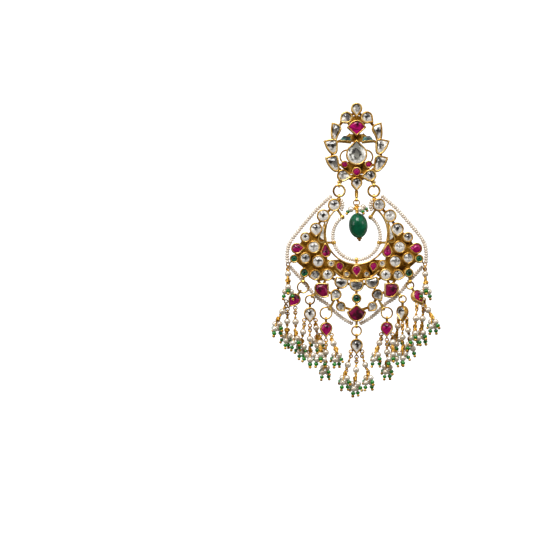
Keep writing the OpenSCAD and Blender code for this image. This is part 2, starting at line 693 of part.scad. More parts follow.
// Where a pendant's loop hangs: across, up, and forward of the hanging plane
function loop_place(row, k) = let (at = loop_on_cup(k), x = at[0] * cos(row[4]), eye = eye_place(row))
  [eye[0] + x * cos(row[3]) - at[1] * sin(row[3]), eye[1] + x * sin(row[3]) + at[1] * cos(row[3]),
    -at[0] * sin(row[4])];
module on_pendant(row) {
  at = eye_place(row);
  face() translate([at[0], at[1], mid_h]) rotate([0, 0, row[3]]) children();
}
module pendant_ring(row) {
  at = ring_place(row);
  color(gold) face() translate([at[0], at[1], mid_h]) wire_ring(pendant_ring_r(row), small_wire);
}
module pendant_setting(row) {
  color(gold) on_pendant(row) difference() {
    union() {
      eye_body([0, 0], small_wire);
      neck([0, 0], [0, pendant_cup[2]], bore_r(small_wire) + eye_wall / 2, eye_w, pendant_t * bar_share);
      rotate([0, row[4], 0]) {
        translate([0, 0, -pendant_t / 2]) cups([pendant_cup], 1, pendant_t);
        for (k = [0 : 2]) {
          at = loop_on_cup(k);
          translate([at[0], at[1], 0]) wire_ring(loop_r, loop_wire);
          neck(at, [0, pendant_cup[2]], loop_r, loop_bar, loop_bar);
        }
      }
    }
    rotate([0, row[4], 0]) translate([0, 0, -pendant_t / 2]) pockets([pendant_cup], 1, pendant_t);
    eye_bore([0, 0], small_wire);
  }
}
module pendant_stone(row) {
  color(row[5] == 1 ? ruby : crystal) on_pendant(row)
    rotate([0, row[4], 0]) translate([0, 0, -pendant_t / 2]) stone(pendant_cup, 1, pendant_t, 12);
}

// Tassels

// A round bar from one point to another
module bar(from, to, d) {
  way = to - from;
  translate(from) rotate([0, acos(way[2] / norm(way)), atan2(way[1], way[0])])
    cylinder(d = d, h = norm(way), $fn = 24);
}
module bored_pearl(at, way, d) {
  hole = pin_d / 2 + pearl_gap;
  translate(at) rotate([0, acos(way[2]), atan2(way[1], way[0])]) rotate_extrude($fn = 32)
    difference() {
      circle(d = d, $fn = 32);
      translate([-d, -d]) square([d + hole, 2 * d]);
    }
}
// Start of a string: its loop's place, and its shape: lean across, lean forward, lengths, turn
function string_way(shape) = unit([tan(shape[0]), -1, tan(shape[1])]);
function string_top(at) = at - [0, link_drop + link_r, 0];
function string_point(at, shape, share) =
  string_top(at) + string_way(shape) * (share * pendant_l - link_drop - link_r);
function pin_way(row, turn) = let (t = row[0] + turn)
  [sin(row[1]) * cos(t), -cos(row[1]), sin(row[1]) * sin(t)];
module tassel_wire(at, yaw, shape) {
  foot = string_point(at, shape, shape[3]);
  way = string_way(shape);
  union() {
    translate(at - [0, link_drop, 0]) rotate([0, yaw + 90, 0]) wire_ring(link_r, link_wire);
    bar(string_top(at), foot, pin_d);
    bar(foot - way * coil_l, foot, coil_d);
    translate(foot) sphere(d = knot_d, $fn = 24);
    for (row = bunch) {
      pin = pin_way(row, shape[4]);
      tip = foot + pin * (row[2] * bunch_pearl_d + pin_tail);
      bar(foot, tip, bunch_pin_d);
      translate(tip) sphere(d = pin_d * 2, $fn = 24);
    }
  }
}
module tassel_pearls_of(at, shape) {
  bored_pearl(string_point(at, shape, shape[2]), string_way(shape), pearl_d);
  foot = string_point(at, shape, shape[3]);
  for (row = bunch) {
    pin = pin_way(row, shape[4]);
    bored_pearl(foot + pin * row[2] * bunch_pearl_d, pin, bunch_pearl_d);
  }
}
module tassels(first, last, end_side, wires) {
  face() translate([0, 0, mid_h]) {
    for (row = strings) if (row[0] >= first && row[0] <= last) {
      pendant = pendants[row[0]];
      at = loop_place(pendant, row[1]);
      shape = [for (k = [2 : 6]) row[k]];
      if (wires) tassel_wire(at, pendant[4], shape);
      else tassel_pearls_of(at, shape);
    }
    if (end_side != 0) {
      at = concat(on_plan([end_side * end_lug[0], end_lug[1]]), 0);
      if (wires) tassel_wire(at, 0, end_string);
      else tassel_pearls_of(at, end_string);
    }
  }
}
module tassel_wires(first, last, end_side) {
  color(gold) tassels(first, last, end_side, true);
}
module tassel_pearls(first, last, end_side) {
  color(pearl) tassels(first, last, end_side, false);
}

// Emerald drop

// Draws at the eye of the drop's pin, leaning with it
module on_drop() {
  face() translate([0, drop_hinge_z - 2 * drop_ring_r, mid_h]) rotate([0, 0, drop_lean]) children();
}
bead_top = [0, -drop_neck, 0];
bead_foot = [0, -drop_neck - bead_l, 0];
washer_foot = bead_foot - [0, bead_gap + washer_l, 0];
coil_top = [0, -eye_r(drop_ring_wire) + eye_wall / 2, 0];
module drop_ring() {
  color(gold) face() translate([0, drop_hinge_z - drop_ring_r, mid_h])
    wire_ring(drop_ring_r, drop_ring_wire);
}
// Where a small pearl of the drop sits, and the way its pin points
pins_top = coil_top - [0, drop_pins_from, 0];
function drop_pearl_at(row) = [row[0], row[2], row[1]] * bead_d;
function drop_pearl_way(row) = unit(drop_pearl_at(row) - pins_top);
module drop_pin() {
  color(gold) on_drop() difference() {
    union() {
      eye_body([0, 0], drop_ring_wire);
      bar(coil_top, bead_top + [0, bead_gap, 0], drop_coil_d);
      bar(bead_top + [0, 2 * bead_gap, 0], washer_foot, drop_pin_d);
      bar(washer_foot + [0, washer_l, 0], washer_foot, washer_d);
      translate(washer_foot - [0, ball_d / 3, 0]) sphere(d = ball_d, $fn = 32);
      for (row = drop_pearls_at)
        bar(pins_top, drop_pearl_at(row) + drop_pearl_way(row) * (drop_pearl_d / 2 + drop_pin_tail), pin_d);
    }
    eye_bore([0, 0], drop_ring_wire);
  }
}
module drop_bead() {
  hole = drop_pin_d / 2 + pearl_gap;
  from = asin(hole / (bead_d / 2));
  color(emerald) on_drop() translate(bead_top) rotate([90, 0, 0]) rotate_extrude($fn = 48)
    polygon(concat([[hole, bead_l / 2 * (1 + cos(from))], [hole, bead_l / 2 * (1 - cos(from))]], [
      for (k = [1 : 15]) let (t = from + (180 - 2 * from) * k / 16)
        [bead_d / 2 * sin(t), bead_l / 2 * (1 - cos(t))]
    ]));
}
module drop_pearls() {
  color(pearl) on_drop() for (row = drop_pearls_at)
    bored_pearl(drop_pearl_at(row), drop_pearl_way(row), drop_pearl_d);
}

stud_frame();
ear_post();
stud_crystals();
stud_centre_crystal();
stud_ruby_fan();
stud_rubies();
wing(1);  // wing_left
wing(0);  // wing_right
jump_ring(-1);  // jump_ring_left
jump_ring(1);  // jump_ring_right
crescent_frame();
crescent_crystals();
leaf_crystal(1);  // leaf_crystal_left
leaf_crystal(0);  // leaf_crystal_right
crescent_rubies();
crescent_emeralds();
ruby_square(1);  // ruby_square_left
ruby_square(0);  // ruby_square_right
ruby_kite();
inner_strand();
outer_strand(outer_route_left);  // outer_strand_left
outer_strand(outer_route_right);  // outer_strand_right
lower_strand(-1);  // lower_strand_left
lower_strand(1);  // lower_strand_right
for (k = [0 : 6]) {
  pendant_ring(pendants[k]);
  pendant_setting(pendants[k]);
  pendant_stone(pendants[k]);
}
tassel_wires(0, 0, -1);  // tassel_wires_far_left
tassel_wires(1, 2, 0);  // tassel_wires_left
tassel_wires(3, 3, 0);  // tassel_wires_centre
tassel_wires(4, 5, 0);  // tassel_wires_right
tassel_wires(6, 6, 1);  // tassel_wires_far_right
tassel_pearls(0, 0, -1);  // tassel_pearls_far_left
tassel_pearls(1, 2, 0);  // tassel_pearls_left
tassel_pearls(3, 3, 0);  // tassel_pearls_centre
tassel_pearls(4, 5, 0);  // tassel_pearls_right
tassel_pearls(6, 6, 1);  // tassel_pearls_far_right
drop_ring();
drop_pin();
drop_bead();
drop_pearls();
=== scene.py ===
import json
import math
import random

import bmesh
import bpy
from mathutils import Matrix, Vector

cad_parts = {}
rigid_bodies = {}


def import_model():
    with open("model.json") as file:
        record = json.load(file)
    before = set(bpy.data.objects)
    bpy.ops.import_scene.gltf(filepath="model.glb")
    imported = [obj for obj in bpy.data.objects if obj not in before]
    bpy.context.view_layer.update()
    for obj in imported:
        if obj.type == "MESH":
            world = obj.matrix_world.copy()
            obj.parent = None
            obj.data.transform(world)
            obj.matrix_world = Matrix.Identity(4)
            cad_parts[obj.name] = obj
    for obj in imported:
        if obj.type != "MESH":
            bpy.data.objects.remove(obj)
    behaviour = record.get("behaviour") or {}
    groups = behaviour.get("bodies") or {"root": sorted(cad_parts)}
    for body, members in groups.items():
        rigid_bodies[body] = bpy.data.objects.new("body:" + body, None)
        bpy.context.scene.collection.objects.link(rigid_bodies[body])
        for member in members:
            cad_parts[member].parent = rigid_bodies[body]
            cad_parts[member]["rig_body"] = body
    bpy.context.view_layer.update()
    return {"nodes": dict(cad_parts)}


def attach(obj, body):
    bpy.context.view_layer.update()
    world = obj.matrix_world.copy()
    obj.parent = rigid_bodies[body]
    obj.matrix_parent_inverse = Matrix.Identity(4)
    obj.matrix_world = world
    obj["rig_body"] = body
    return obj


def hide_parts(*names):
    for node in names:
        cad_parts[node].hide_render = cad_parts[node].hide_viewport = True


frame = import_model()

MM = 0.001
scene = bpy.context.scene

# The photograph's place: the camera stands level, square to the earring and a little to its left,
# far enough back for a long lens.
camera = bpy.data.objects.new("camera", bpy.data.cameras.new("camera"))
camera.data.lens = 100
camera.data.sensor_width = 36
camera.location = Vector((-34.2, -563.6, -44.3)) * MM
camera.rotation_euler = (math.radians(90), 0, 0)
camera.data.clip_start, camera.data.clip_end = 0.01, 20
scene.collection.objects.link(camera)
scene.camera = camera
scene.view_settings.view_transform = "Standard"


# The goldwork is cast and soldered brass under yellow gold plate. It is burnished on its edges, and on the
# frame its recesses are darkened with painted brown shade, deeper towards the back plate; the surface is
# slightly uneven, as hand-worked gold is.
class Tint:
    """A value on its way through the nodes; adding to it or scaling it lays down Math nodes."""

    def __init__(self, bench, socket):
        self.bench, self.socket = bench, socket

    def __add__(self, other):
        return self.bench.maths("ADD", self, other)

    def __sub__(self, other):
        return self.bench.maths("SUBTRACT", self, other)

    def __rsub__(self, other):
        return self.bench.maths("SUBTRACT", other, self)

    def __mul__(self, other):
        return self.bench.maths("MULTIPLY", self, other)

    def __truediv__(self, other):
        return self.bench.maths("DIVIDE", self, other)

    __radd__ = __add__
    __rmul__ = __mul__


class Bench:
    """The nodes of one finish, of one repeated piece, or of the studio's light."""

    def __init__(self, tree):
        self.tree = tree

    def add(self, kind, settings=None, sockets=None, out=0):
        """A node of a kind, with its settings made first; gives the output of that name or number."""
        node = self.tree.nodes.new(kind)
        for name, value in (settings or {}).items():
            if name == "stops":
                first, *middle, last = value
                ends = node.color_ramp.elements
                ends[0].position, ends[0].color = first[0], (*first[1], 1)
                ends[1].position, ends[1].color = last[0], (*last[1], 1)
                for at, colour in middle:
                    ends.new(at).color = (*colour, 1)
            else:
                setattr(node, name, value)
        for key, value in (sockets or {}).items():
            self.feed(node.inputs[key], value)
        return Tint(self, node.outputs[out])

    def feed(self, socket, value):
        if isinstance(value, Tint):
            self.tree.links.new(value.socket, socket)
        elif socket.type == "RGBA" and len(value) == 3:
            socket.default_value = (*value, 1)
        else:
            socket.default_value = value

    def maths(self, operation, *values):
        return self.add("ShaderNodeMath", {"operation": operation}, dict(enumerate(values)))

    def place(self, kind="Object"):
        return self.add("ShaderNodeTexCoord", out=kind)

    def part(self, vector, axis):
        return self.add("ShaderNodeSeparateXYZ", {}, {0: vector}, axis)

    def noise(self, at, scale, detail=2):
        return self.add("ShaderNodeTexNoise", {}, {"Vector": at, "Scale": scale, "Detail": detail})

    def smooth(self, value, low, high):
        return self.add("ShaderNodeMapRange", {"interpolation_type": "SMOOTHSTEP"},
                        {"Value": value, "From Min": low, "From Max": high})

    def ramp(self, value, stops):
        return self.add("ShaderNodeValToRGB", {"stops": stops}, {"Fac": value})

    def blend(self, factor, first, second):
        return self.add("ShaderNodeMix", {"data_type": "RGBA"}, {0: factor, 6: first, 7: second}, 2)

    def emboss(self, shader, height, distance, strength):
        """Raises the surface of a shader by a height; the distance is in millimetres."""
        raised = self.add("ShaderNodeBump", {},
                          {"Height": height, "Distance": distance * MM, "Strength": strength})
        self.feed(shader.inputs["Normal"], raised)


def finish(name, **constants):
    """A new finish: its material, its bench and its shader, with the constants set on the shader."""
    material = bpy.data.materials.new(name)
    material.use_nodes = True
    bench = Bench(material.node_tree)
    shader = material.node_tree.nodes["Principled BSDF"]
    for key, value in constants.items():
        bench.feed(shader.inputs[key.replace("_", " ")], value)
    return material, bench, shader


def gold(name, stops, front=None, back=None):
    """Burnished gold. Given the depths of its front and back in millimetres, it is darkened with painted
    shade from the one to the other, but not where it faces backwards."""
    material, bench, shader = finish(name, Metallic=0.86)
    place = bench.place()
    patch = bench.noise(place, 300, 3)
    fine = bench.noise(place, 2400, 3)
    tone = 0.5 + (patch - 0.5) * 2 + (fine - 0.5) * 0.5
    if front is not None:
        # Painted shade: the colour darkens with depth towards the back plate, standing in for the shade in
        # the recesses.
        lit = bench.smooth(bench.part(place, "Y"), back * MM, front * MM)
        backward = bench.smooth(bench.part(bench.place("Normal"), "Y"), 0.4, 0.8)
        lit = lit + (1 - lit) * backward * 0.8
        tone = tone * 0.5 + lit * 0.45
    bench.feed(shader.inputs["Base Color"], bench.ramp(tone, stops))
    bench.feed(shader.inputs["Roughness"], 0.2 + fine * 0.24)
    bench.emboss(shader, patch * 0.6 + fine * 0.4, 0.14, 0.6)
    return material


def wear(node, material):
    """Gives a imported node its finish."""
    slots = frame["nodes"][node].data.materials
    slots.clear()
    slots.append(material)


# The frame's gold carries painted shade, darker towards its back plate between the settings.
frame_gold = gold("frame gold", [
    (0.08, (0.06, 0.018, 0.002)),
    (0.2, (0.3, 0.13, 0.012)),
    (0.32, (0.72, 0.37, 0.035)),
    (0.7, (0.88, 0.56, 0.13)),
    (0.95, (0.97, 0.72, 0.26)),
], front=-1.9, back=-0.6)
wire_gold = gold("wire gold", [
    (0.2, (0.24, 0.11, 0.016)),
    (0.5, (0.56, 0.32, 0.06)),
    (0.8, (0.9, 0.62, 0.2)),
])
for node in ("stud_frame", "crescent_frame"):
    wear(node, frame_gold)
for node in frame["nodes"]:
    if node == "ear_post" or node.startswith("jump_ring") or node.endswith(("_ring", "_setting")):
        wear(node, wire_gold)


# The stones lie in gold foil and lac: clear ones over silver foil, red and green ones over their own
# colour. Each is cut with a small table and rows of three-sided facets.
def solids_of(node):
    """The loose solids of a node, top to bottom: the outline of each one's flat back, the way it faces,
    and the heights of its corners over the back."""
    mesh = bmesh.new()
    mesh.from_mesh(frame["nodes"][node].data)
    bmesh.ops.remove_doubles(mesh, verts=mesh.verts, dist=0.002 * MM)
    mesh.normal_update()
    solids, seen = [], set()
    for first in mesh.faces:
        if first in seen:
            continue
        seen.add(first)
        solid = [first]
        # The list grows while it is walked, until it holds every face that is joined to the first.
        for face in solid:
            near = [other for edge in face.edges for other in edge.link_faces if other not in seen]
            seen.update(near)
            solid += dict.fromkeys(near)
        sides = {}
        for face in solid:
            way = tuple(round(x, 2) + 0.0 for x in face.normal)
            sides.setdefault(way, []).append(face)
        back = max(sides.values(), key=lambda faces: sum(f.calc_area() for f in faces))
        follows = {}
        for face in back:
            for loop in face.loops:
                if not any(f in back for f in loop.edge.link_faces if f != face):
                    follows[loop.vert] = loop.link_loop_next.vert
        start = max(follows, key=lambda v: (round(v.co.z, 5), round(v.co.x, 5)))
        outline, at = [start], follows[start]
        while at != start:
            outline.append(at)
            at = follows[at]
        facing = -sum((f.normal * f.calc_area() for f in back), Vector()).normalized()
        heights = sorted({round((v.co - start.co).dot(facing), 5) for f in solid for v in f.verts})
        solids.append(([v.co.copy() for v in outline], facing, heights))
    mesh.free()
    return sorted(solids, key=lambda solid: (-round(solid[0][0].z, 4), round(solid[0][0].x, 4)))


def rounded(line):
    """A closed line with one more corner between each two, on a smooth curve except beside sharp corners."""
    count = len(line)
    bends = []
    for i in range(count):
        a, b, c = line[i - 1], line[i], line[(i + 1) % count]
        bends.append((b - a).angle(c - b))
    out = []
    for i in range(count):
        a, b, c, d = (line[(i + k) % count] for k in (-1, 0, 1, 2))
        sharp = max(bends[i], bends[(i + 1) % count]) > math.radians(50)
        out += [b, (b + c) / 2 if sharp else (9 * (b + c) - (a + d)) / 16]
    return out


def grown(line, facing, distance):
    """A closed line moved outwards by a distance, with its sharp corners held back."""
    middle = sum(line, Vector()) / len(line)
    out = []
    for i, p in enumerate(line):
        before = (p - line[i - 1]).normalized()
        after = (line[(i + 1) % len(line)] - p).normalized()
        way = (before.cross(facing) + after.cross(facing)).normalized()
        reach = distance / max(0.6, abs(way.dot(before.cross(facing))))
        out.append(p + (way if way.dot(p - middle) > 0 else -way) * reach)
    return out


def along(line, share):
    """The point at a share of the way round a closed line."""
    at = (share % 1) * len(line)
    i = int(at)
    return line[i % len(line)].lerp(line[(i + 1) % len(line)], at - i)


def facets(mesh, lower, upper, shift):
    """Three-sided faces between two closed rows of corners, each with the number of its facet."""
    i, j = 0, 0
    n, m = len(lower), len(upper)
    while i < n or j < m:
        if j >= m or (i < n and (i + 1) / n <= (j + 0.5 + shift) / m):
            yield mesh.faces.new((lower[i % n], lower[(i + 1) % n], upper[j % m])), 2 * (j % m)
            i += 1
        else:
            yield mesh.faces.new((lower[i % n], upper[(j + 1) % m], upper[j % m])), 2 * j + 1
            j += 1


rims = {"stud": [], "crescent": []}
chance = random.Random(7)


def cut_stones(node, slot, material, rows, widened, rim):
    """Cuts a stone on the widened outline of each of a node's solids, and notes its foil rim.
    Rows of a cut: corners, start, share of the width and of the rise."""
    mesh = bmesh.new()
    uv = mesh.loops.layers.uv.new("stone")
    # Each facet gets a random painted glint, and each stone a random shift of its painted reflection.
    glint = mesh.faces.layers.float.new("glint")
    cast = mesh.faces.layers.float.new("cast")
    body = frame["nodes"][node]["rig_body"]
    for outline, facing, heights in solids_of(node):
        line = grown(rounded(outline[::-1]), facing, widened * MM)
        centre = sum(line, Vector()) / len(line)
        girdle = facing * heights[1]
        rise = heights[-1] - heights[1]
        rims[body].append(([p + girdle for p in line], facing, rim))
        back = [mesh.verts.new(p + girdle * 0.8) for p in line]
        upper = [mesh.verts.new(p + girdle) for p in line]
        faces = [(mesh.faces.new(back), "girdle")]
        for i in range(len(line)):
            j = (i + 1) % len(line)
            faces.append((mesh.faces.new((back[i], back[j], upper[j], upper[i])), "girdle"))
        for row, (count, start, share, lift) in enumerate(rows):
            lower = upper
            places = [centre + (along(line, (j + start) / count) - centre) * share for j in range(count)]
            upper = [mesh.verts.new(p + girdle + facing * rise * lift) for p in places]
            faces += [(face, (row, number)) for face, number in facets(mesh, lower, upper, start)]
        faces.append((mesh.faces.new(upper), "table"))
        across = (Vector((1, 0, 0)) - facing * facing.x).normalized()
        upright = across.cross(facing) * -1
        size = max((p - centre).length for p in line)
        of_stone, of_facet = chance.random(), {}
        for face, facet in faces:
            face[cast] = of_stone
            face[glint] = of_facet.setdefault(facet, chance.random())
            for loop in face.loops:
                away = (loop.vert.co - centre) / size
                loop[uv].uv = (0.5 + 0.5 * away.dot(across), 0.5 + 0.5 * away.dot(upright))
    bmesh.ops.recalc_face_normals(mesh, faces=mesh.faces)
    made = bpy.data.meshes.new(node + "_cut")
    mesh.to_mesh(made)
    mesh.free()
    made.materials.append(material)
    piece = bpy.data.objects.new(node + "_cut", made)
    scene.collection.objects.link(piece)
    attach(piece, body)
    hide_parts(node)


def foil_stone(name, light, middle, dark, reflection_width, base=0.62, arms=4, above=0.2, reflection_unevenness=0.7, **constants):
    """A stone over foil, coloured with painted light: a painted dark reflection shaped as a star of so many
    arms, a little above its middle and of the given width, painted light round it and lighter below, and a
    painted glint that differs from facet to facet."""
    material, bench, shader = finish(name, **constants)
    uv = bench.add("ShaderNodeUVMap", {"uv_map": "stone"})
    glint = bench.add("ShaderNodeAttribute", {"attribute_name": "glint"}, out="Fac")
    cast = bench.add("ShaderNodeAttribute", {"attribute_name": "cast"}, out="Fac")
    x = bench.part(uv, "X") * 2 - 0.9 - cast * 0.2
    y = bench.part(uv, "Y") * 2 - 1 - above
    patch = bench.noise(bench.place(), 1000)
    angle = bench.maths("ARCTAN2", y, x)
    star = bench.maths("COSINE", (angle - math.pi / 2) * arms + (patch - 0.5) * 4)
    far = bench.maths("SQRT", x * x + y * y * 1.2)
    edge = far - star * (0.6 / arms) - (patch - 0.5) * reflection_unevenness - (cast - 0.5) * 0.4
    # Painted reflection: the dark star stands in for the dark surroundings mirrored in the stone; the tone
    # is also painted lighter towards the bottom, and each facet carries a painted glint.
    painted_reflection = 1 - bench.smooth(edge, reflection_width - 0.3, reflection_width + 0.22)
    tone = base - painted_reflection * 0.58 + (glint - 0.5) * 0.45 - y * 0.2
    stops = [(0.02, dark), (0.36, middle), (0.72, light)]
    bench.feed(shader.inputs["Base Color"], bench.ramp(tone, stops))
    return material


crystal = foil_stone(
    "foiled crystal", (0.95, 0.92, 0.86), (0.41, 0.38, 0.34), (0.014, 0.012, 0.012), reflection_width=0.6, reflection_unevenness=0.9,
    Metallic=0.12, Roughness=0.14, Coat_Weight=1.0, Coat_Roughness=0.03)
leaf_crystal = foil_stone(
    "foiled leaf crystal", (0.94, 0.92, 0.86), (0.48, 0.46, 0.42), (0.12, 0.11, 0.1), reflection_width=0.2, reflection_unevenness=0.5,
    Metallic=0.12, Roughness=0.14, Coat_Weight=1.0, Coat_Roughness=0.03)
centre_crystal = foil_stone(
    "foiled centre crystal", (0.93, 0.92, 0.86), (0.36, 0.35, 0.3), (0.025, 0.025, 0.025), reflection_width=0.72,
    base=0.64, arms=2, above=0.5, reflection_unevenness=0.6,
    Metallic=0.15, Roughness=0.12, Coat_Weight=1.0, Coat_Roughness=0.03)
ruby = foil_stone(
    "foiled ruby", (0.46, 0.0, 0.14), (0.23, 0.0, 0.06), (0.035, 0.0, 0.008), reflection_width=0.2, base=0.52,
    Metallic=0.15, Roughness=0.2, Coat_Weight=0.4, Coat_Roughness=0.05, Specular_IOR_Level=0.3)
deep_ruby = foil_stone(
    "foiled deep ruby", (0.25, 0.0, 0.06), (0.14, 0.0, 0.03), (0.03, 0.0, 0.006), reflection_width=0.3, base=0.5,
    Metallic=0.15, Roughness=0.25, Coat_Weight=0.35, Coat_Roughness=0.08, Specular_IOR_Level=0.3)
emerald = foil_stone(
    "foiled emerald", (0.01, 0.24, 0.11), (0.002, 0.06, 0.035), (0.0, 0.008, 0.005), reflection_width=0.5, base=0.5,
    Metallic=0.15, Roughness=0.14, Coat_Weight=0.5, Coat_Roughness=0.03, Specular_IOR_Level=0.3)
wing_green = foil_stone(
    "foiled wing", (0.02, 0.11, 0.1), (0.001, 0.03, 0.022), (0.0, 0.005, 0.004), reflection_width=0.6, base=0.46,
    Metallic=0.1, Roughness=0.3, Coat_Weight=0.15, Coat_Roughness=0.05, Specular_IOR_Level=0.2)
crown = ((8, 0.0, 0.74, 0.6), (8, 0.5, 0.44, 1.0))
broad = ((10, 0.0, 0.84, 0.5), (10, 0.5, 0.6, 0.8), (5, 0.0, 0.3, 1.0))
clear_nodes = ("crescent_crystals", "pendant_2_stone", "pendant_4_stone", "pendant_6_stone")
red_nodes = ("stud_rubies", "crescent_rubies", "pendant_1_stone", "pendant_3_stone", "pendant_5_stone",
             "pendant_7_stone")
# Columns: slot, finish, rows of the cut, how much wider than its solid a stone is, radius of its rim
for slot, material, rows, widened, rim, nodes in (
    ("crystal", centre_crystal, broad, 0.0, 0.3, ("stud_centre_crystal",)),
    ("crystal", crystal, crown, -0.08, 0.35, ("stud_crystals",)),
    ("crystal", crystal, crown, 0.03, 0.3, clear_nodes),
    ("crystal", leaf_crystal, crown, 0.3, 0.18, ("leaf_crystal_left", "leaf_crystal_right")),
    ("ruby", ruby, broad, -0.02, 0.31, ("stud_ruby_fan",)),
    ("ruby", deep_ruby, broad, -0.02, 0.31, ("ruby_square_left", "ruby_square_right", "ruby_kite")),
    ("ruby", ruby, crown, 0.04, 0.28, red_nodes),
    ("emerald", emerald, crown, -0.02, 0.31, ("crescent_emeralds",)),
    ("emerald", wing_green, crown, 0.62, 0.16, ("wing_left", "wing_right")),
):
    for node in nodes:
        cut_stones(node, slot, material, rows, widened, rim)


# A bezel of pure gold foil is pressed round every stone and burnished into a soft, slightly uneven
# roll, which stands a little proud of the cup that holds the stone.
def repeat_tree(name, numbers):
    """An empty tree for a repeated piece: its bench, what it is given by name, and its output."""
    tree = bpy.data.node_groups.new(name, "GeometryNodeTree")
    tree.interface.new_socket("Geometry", in_out="INPUT", socket_type="NodeSocketGeometry")
    for number in numbers:
        tree.interface.new_socket(number, in_out="INPUT", socket_type="NodeSocketFloat")
    tree.interface.new_socket("Material", in_out="INPUT", socket_type="NodeSocketMaterial")
    tree.interface.new_socket("Geometry", in_out="OUTPUT", socket_type="NodeSocketGeometry")
    bench = Bench(tree)
    inputs = tree.nodes.new("NodeGroupInput").outputs
    end = tree.nodes.new("NodeGroupOutput").inputs[0]
    return bench, {socket.name: Tint(bench, socket) for socket in inputs if socket.name}, end


def uneven(bench, geometry, amount, scale):
    """Pushes a surface about by a soft noise."""
    spot = bench.add("GeometryNodeInputPosition")
    rough = bench.add("ShaderNodeTexNoise", {}, {"Vector": spot, "Scale": scale, "Detail": 1.0}, "Color")
    push = bench.add("ShaderNodeVectorMath", {"operation": "SUBTRACT"}, {0: rough, 1: (0.5, 0.5, 0.5)})
    push = bench.add("ShaderNodeVectorMath", {"operation": "SCALE"}, {0: push, "Scale": amount})
    return bench.add("GeometryNodeSetPosition", {}, {"Geometry": geometry, "Offset": push})


def finished(bench, geometry, given, end):
    """Ends a tree: real geometry, shaded smooth, in its own material."""
    real = bench.add("GeometryNodeRealizeInstances", {}, {0: geometry})
    smooth = bench.add("GeometryNodeSetShadeSmooth", {}, {"Geometry": real})
    bench.feed(end, bench.add("GeometryNodeSetMaterial", {},
                              {"Geometry": smooth, "Material": given["Material"]}))


def laid_out(name, tree, points, edges, body, material, numbers, ways=None, replaced=()):
    """Runs a tree over lines or points and keeps the result as a plain mesh that rides on a body."""
    mesh = bpy.data.meshes.new(name)
    mesh.from_pydata(points, edges, [])
    if ways:
        attribute = mesh.attributes.new("way", "FLOAT_VECTOR", "POINT")
        attribute.data.foreach_set("vector", [x for way in ways for x in way])
    piece = bpy.data.objects.new(name, mesh)
    scene.collection.objects.link(piece)
    modifier = piece.modifiers.new("repeat", "NODES")
    modifier.node_group = tree
    inputs = {s.name: s.identifier for s in tree.interface.items_tree if s.in_out == "INPUT"}
    modifier[inputs["Material"]] = material
    for number, value in numbers.items():
        modifier[inputs[number]] = float(value)
    ready = piece.evaluated_get(bpy.context.evaluated_depsgraph_get())
    made = bpy.data.meshes.new_from_object(ready)
    piece.modifiers.remove(modifier)
    piece.data = made
    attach(piece, body)
    if replaced:
        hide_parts(*replaced)


bench, given, end = repeat_tree("drawn wire", ("Radius", "Sides", "Unevenness"))
path = bench.add("GeometryNodeMeshToCurve", {}, {"Mesh": given["Geometry"]})
section = bench.add("GeometryNodeCurvePrimitiveCircle", {},
                    {"Resolution": given["Sides"], "Radius": given["Radius"]})
wire = bench.add("GeometryNodeCurveToMesh", {}, {"Curve": path, "Profile Curve": section, "Fill Caps": True})
finished(bench, uneven(bench, wire, given["Unevenness"], 700.0), given, end)
drawn_wire = bench.tree


def lines_of(lines):
    """Points and edges for many lines at once. A line that ends on its first point is closed."""
    points, edges = [], []
    for line in lines:
        first = len(points)
        closed = line[0] == line[-1]
        points += [tuple(p) for p in (line[:-1] if closed else line)]
        edges += [(i, i + 1) for i in range(first, len(points) - 1)]
        if closed:
            edges.append((len(points) - 1, first))
    return points, edges


def wirework(name, lines, body, material, radius, unevenness, sides=8, replaced=()):
    """Draws wire along lines; its radius and its unevenness are in millimetres."""
    points, edges = lines_of(lines)
    laid_out(name, drawn_wire, points, edges, body, material,
             {"Radius": radius * MM, "Sides": sides, "Unevenness": unevenness * MM}, replaced=replaced)


bezel_gold = gold("bezel gold", [
    (0.25, (0.36, 0.17, 0.022)),
    (0.5, (0.72, 0.42, 0.09)),
    (0.75, (0.93, 0.67, 0.25)),
])
rim_sunk = 0.06
rim_overlap = 0.01
for body, stones in rims.items():
    for radius in sorted({rim for _, _, rim in stones}):
        lines = []
        for line, facing, rim in stones:
            if rim == radius:
                edge = [p - facing * rim_sunk * MM for p in grown(line, facing, (rim - rim_overlap) * MM)]
                corners = []
                for i, p in enumerate(edge):
                    corners += [p, p.lerp(edge[(i + 1) % len(edge)], 0.5)]
                lines.append(corners + corners[:1])
        wirework("bezel_rims_%s_%d" % (body, round(radius * 100)), lines, body, bezel_gold, radius, 0.12)


# The strings are small seed pearls, flat like buttons, threaded on beige silk so that they lie face to
# face. Clips hold the inner string in the opening; the others run outside the crescent's shoulders and
# behind its lower settings.
def bead_shape(bench, diameter, length, segments, rings):
    """A ball that is squashed or drawn out to a length along its hole."""
    ball = bench.add("GeometryNodeMeshUVSphere", {},
                     {"Segments": segments, "Rings": rings, "Radius": diameter * 0.5})
    stretch = bench.add("ShaderNodeCombineXYZ", {}, {0: 1.0, 1: 1.0, 2: length / diameter})
    return bench.add("GeometryNodeTransform", {}, {"Geometry": ball, "Scale": stretch})


